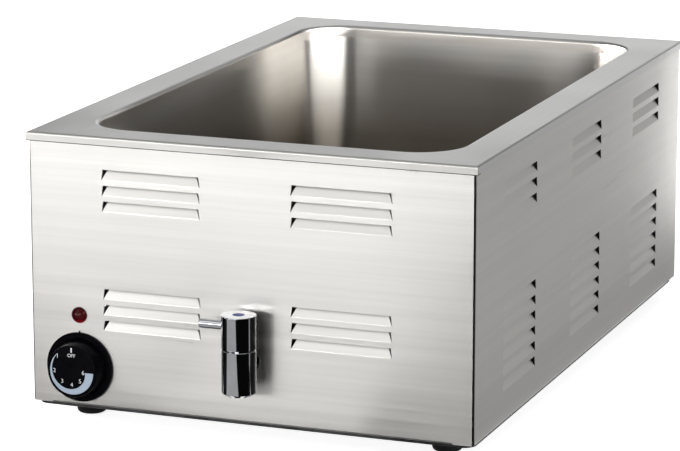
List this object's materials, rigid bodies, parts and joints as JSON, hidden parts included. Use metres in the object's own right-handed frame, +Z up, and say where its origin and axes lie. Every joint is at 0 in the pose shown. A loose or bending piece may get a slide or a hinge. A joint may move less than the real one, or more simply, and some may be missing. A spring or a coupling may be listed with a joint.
{
  "type": "bain marie",
  "caption": "Countertop wet bain marie in brushed steel: deep open well, louvred casing, dial knob, pilot lamp, chrome drain tap with a side lever, rubber feet.",
  "frame": {"origin": "on the table, under the middle of the deck", "axes": "+X to the right seen from the front, +Y to the back, +Z up"},
  "size_m": [0.368, 0.6287, 0.2309],
  "materials": {
    "brushed_steel": "satin",
    "tank_steel": "satin",
    "plated_steel": "satin",
    "chrome": "polished",
    "black_rubber": "matte",
    "black_plastic": "gloss",
    "moulded_black": "matte",
    "red_lens": "gloss",
    "blue_index": "gloss",
    "aluminium": "satin",
    "element_sheath": "matte",
    "fibre": "matte",
    "brass": "satin",
    "copper": "satin",
    "ceramic": "matte",
    "wire_sleeve": "satin"
  },
  "bodies": {
    "casing": {"top_deck": "brushed_steel", "water_tank": "tank_steel", "front_panel": "brushed_steel", "rear_panel": "brushed_steel", "left_side_panel": "brushed_steel", "right_side_panel": "brushed_steel", "base_plate": "plated_steel", "foot_front_left": "black_rubber", "foot_front_right": "black_rubber", "foot_rear_left": "black_rubber", "foot_rear_right": "black_rubber", "foot_screws": "plated_steel", "foot_nuts": "plated_steel", "base_screws": "plated_steel", "rear_panel_screws": "plated_steel", "heat_spreader": "aluminium", "heating_element": "element_sheath", "element_terminals": "plated_steel", "clamp_bars": "plated_steel", "tank_studs": "plated_steel", "stud_nuts": "plated_steel", "insulation_blanket": "fibre", "heat_shield": "plated_steel", "high_limit_switch": "moulded_black", "thermostat_plate": "plated_steel", "thermostat_body": "moulded_black", "thermostat_screws": "plated_steel", "thermostat_bulb": "copper", "capillary_tube": "copper", "knob_bezel": "black_plastic", "lamp_lens": "red_lens", "lamp_body": "moulded_black", "lamp_nut": "moulded_black", "drain_fitting": "chrome", "drain_gasket": "black_rubber", "drain_strainer": "tank_steel", "drain_elbow": "brass", "tap_body": "chrome", "tap_gland_nut": "brass", "tap_flange": "chrome", "tap_washer": "black_rubber", "tap_lock_nut": "brass", "terminal_block": "ceramic", "terminal_inserts": "brass", "terminal_screws": "plated_steel", "wiring": "wire_sleeve", "gland_body": "moulded_black", "gland_dome_nut": "moulded_black", "gland_lock_nut": "moulded_black", "gland_seal": "black_rubber", "bonding_stud": "brass", "bonding_nuts": "brass"},
    "control_knob": {"control_knob": "black_plastic", "thermostat_shaft": "plated_steel"},
    "tap_lever": {"tap_handle": "chrome", "tap_lever_rod": "chrome", "tap_index_disc": "blue_index", "valve_plug": "brass"}
  },
  "joints": [
    {"name": "knob_turn", "type": "hinge", "parent": "casing", "child": "control_knob", "pos_m": [-0.1415, -0.2845, 0.0464], "axis": [0, 1, 0], "range_deg": [0, 270]},
    {"name": "tap_turn", "type": "hinge", "parent": "casing", "child": "tap_lever", "pos_m": [0, -0.303, 0.0656], "axis": [0, 0, 1], "range_deg": [0, 90]}
  ]
}
